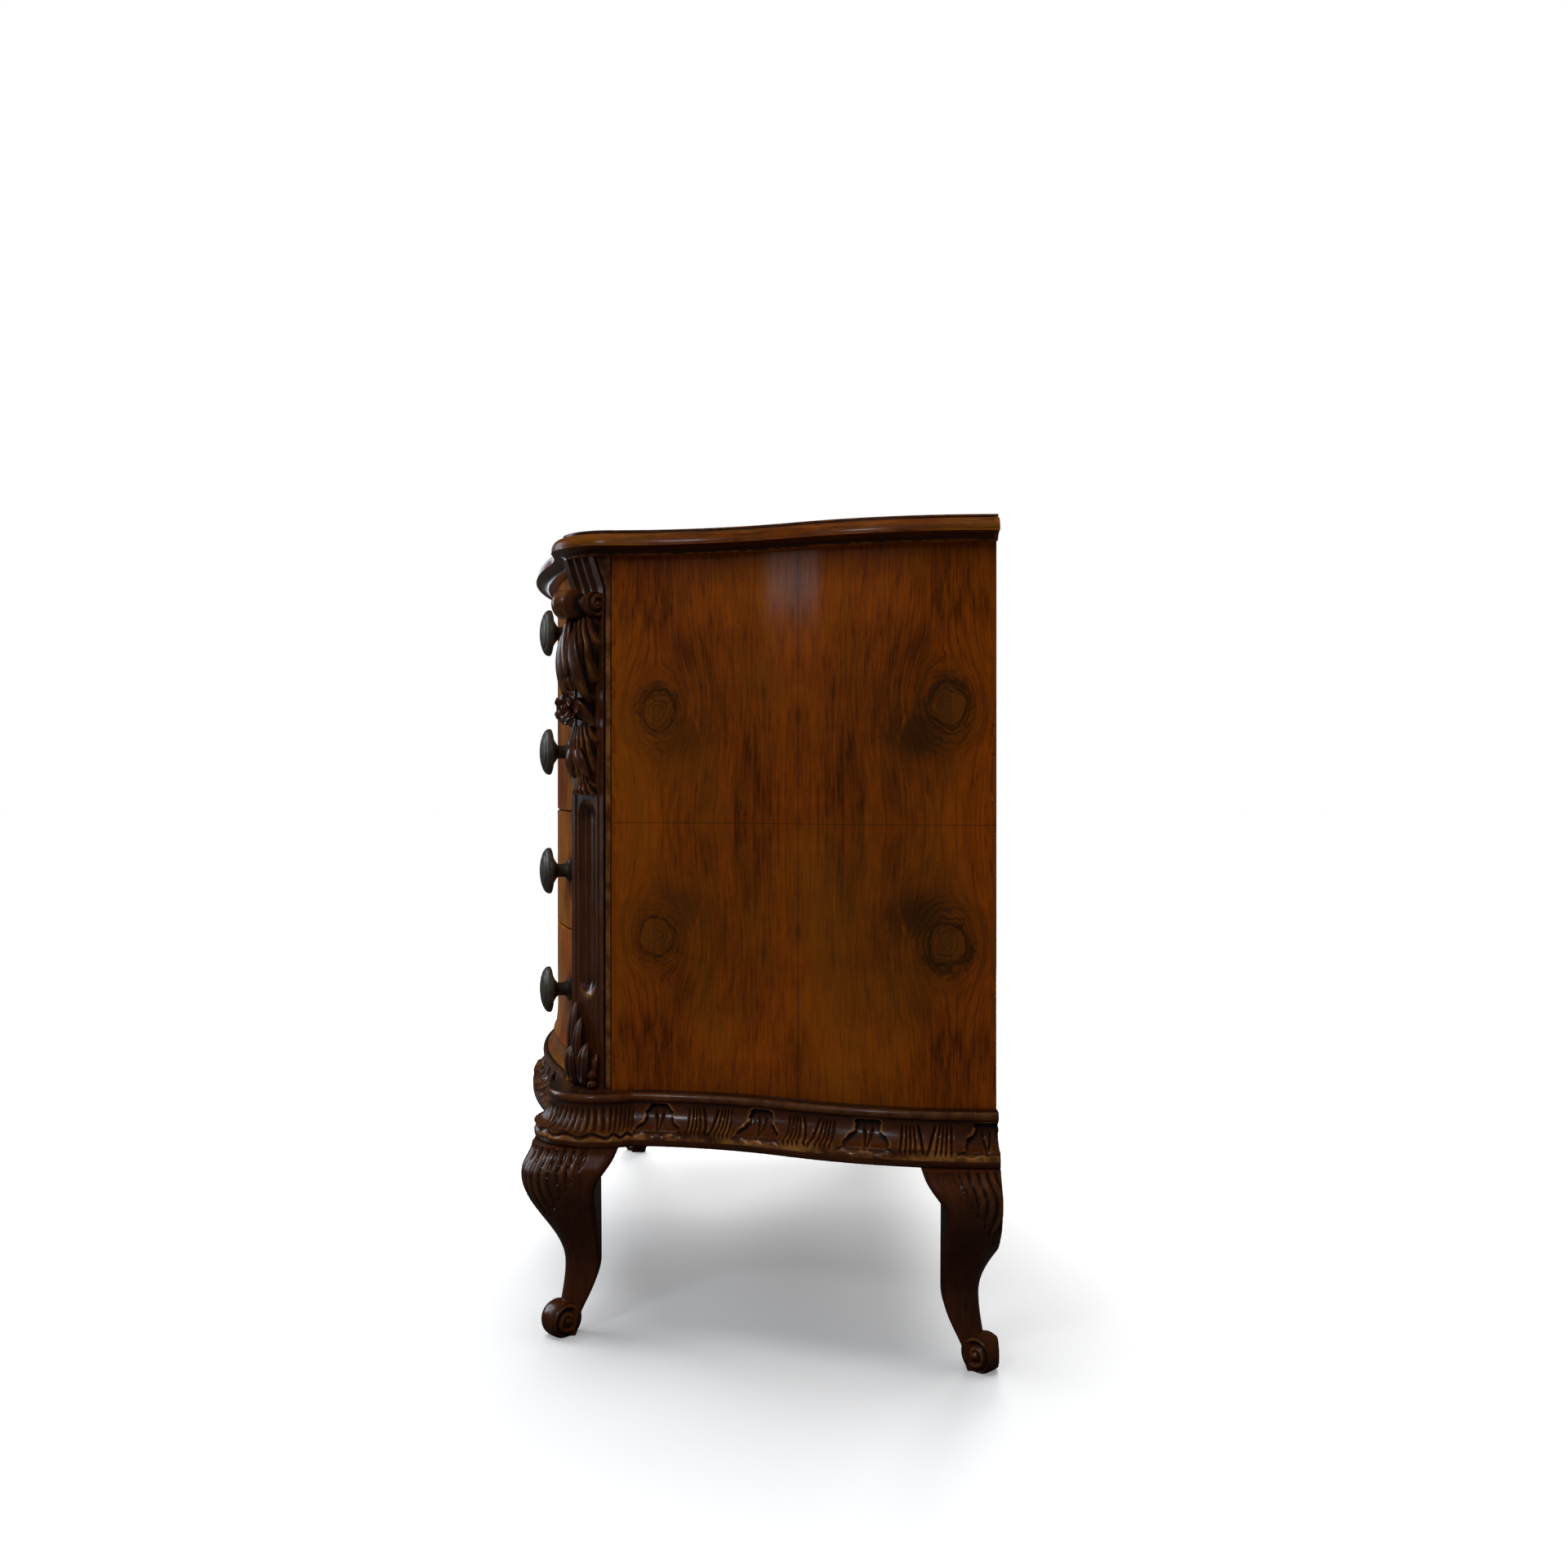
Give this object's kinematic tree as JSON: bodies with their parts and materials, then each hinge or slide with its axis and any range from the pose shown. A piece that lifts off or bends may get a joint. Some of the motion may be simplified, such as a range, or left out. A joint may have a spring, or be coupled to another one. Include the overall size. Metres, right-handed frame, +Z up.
{
  "type": "serpentine commode",
  "caption": "Serpentine chest of drawers with ogee sides, carved canted corners, moulded top and base, cabriole legs and round knobs.",
  "frame": {"origin": "on the floor, under the centre of the bounding box", "axes": "+Z up, front towards -Y, width along X"},
  "size_m": [1.26, 0.629, 1],
  "materials": {
    "walnut_veneer": "gloss",
    "walnut_solid": "satin",
    "inner_wood": "matte",
    "bronze": "patinated",
    "steel": "satin"
  },
  "bodies": {
    "case": {"top_board": "walnut_veneer", "side_panel_left": "walnut_veneer", "side_panel_right": "walnut_veneer", "back_panel": "inner_wood", "case_bottom": "inner_wood", "front_top_rail": "inner_wood", "rear_top_rail": "inner_wood", "front_bottom_rail": "walnut_veneer", "dust_board_1": "inner_wood", "dust_board_2": "inner_wood", "dust_board_3": "inner_wood", "drawer_guides_left": "inner_wood", "drawer_guides_right": "inner_wood", "pilaster_left": "walnut_solid", "pilaster_right": "walnut_solid", "console_scroll_left": "walnut_solid", "console_scroll_right": "walnut_solid", "leaf_drop_left": "walnut_solid", "leaf_drop_right": "walnut_solid", "base_leaf_left": "walnut_solid", "base_leaf_right": "walnut_solid", "base_moulding_front": "walnut_solid", "base_moulding_left": "walnut_solid", "base_moulding_right": "walnut_solid", "base_rear_rail": "inner_wood", "corner_blocks": "inner_wood", "leg_front_left": "walnut_solid", "leg_front_right": "walnut_solid", "leg_rear_left": "walnut_solid", "leg_rear_right": "walnut_solid", "leg_dowels": "inner_wood", "case_screws": "steel"},
    "drawer_1": {"drawer_1_front": "walnut_veneer", "drawer_1_back": "inner_wood", "drawer_1_bottom": "inner_wood", "drawer_1_side_left": "inner_wood", "drawer_1_side_right": "inner_wood", "drawer_1_knobs": "bronze", "drawer_1_knob_screws": "steel"},
    "drawer_2": {"drawer_2_front": "walnut_veneer", "drawer_2_back": "inner_wood", "drawer_2_bottom": "inner_wood", "drawer_2_side_left": "inner_wood", "drawer_2_side_right": "inner_wood", "drawer_2_knobs": "bronze", "drawer_2_knob_screws": "steel"},
    "drawer_3": {"drawer_3_front": "walnut_veneer", "drawer_3_back": "inner_wood", "drawer_3_bottom": "inner_wood", "drawer_3_side_left": "inner_wood", "drawer_3_side_right": "inner_wood", "drawer_3_knobs": "bronze", "drawer_3_knob_screws": "steel"},
    "drawer_4": {"drawer_4_front": "walnut_veneer", "drawer_4_back": "inner_wood", "drawer_4_bottom": "inner_wood", "drawer_4_side_left": "inner_wood", "drawer_4_side_right": "inner_wood", "drawer_4_knobs": "bronze", "drawer_4_knob_screws": "steel"}
  },
  "joints": [
    {"name": "drawer_1_slide", "type": "slide", "parent": "case", "child": "drawer_1", "axis": [0, -1, 0], "range_m": [0, 0.36]},
    {"name": "drawer_2_slide", "type": "slide", "parent": "case", "child": "drawer_2", "axis": [0, -1, 0], "range_m": [0, 0.36]},
    {"name": "drawer_3_slide", "type": "slide", "parent": "case", "child": "drawer_3", "axis": [0, -1, 0], "range_m": [0, 0.36]},
    {"name": "drawer_4_slide", "type": "slide", "parent": "case", "child": "drawer_4", "axis": [0, -1, 0], "range_m": [0, 0.36]}
  ]
}
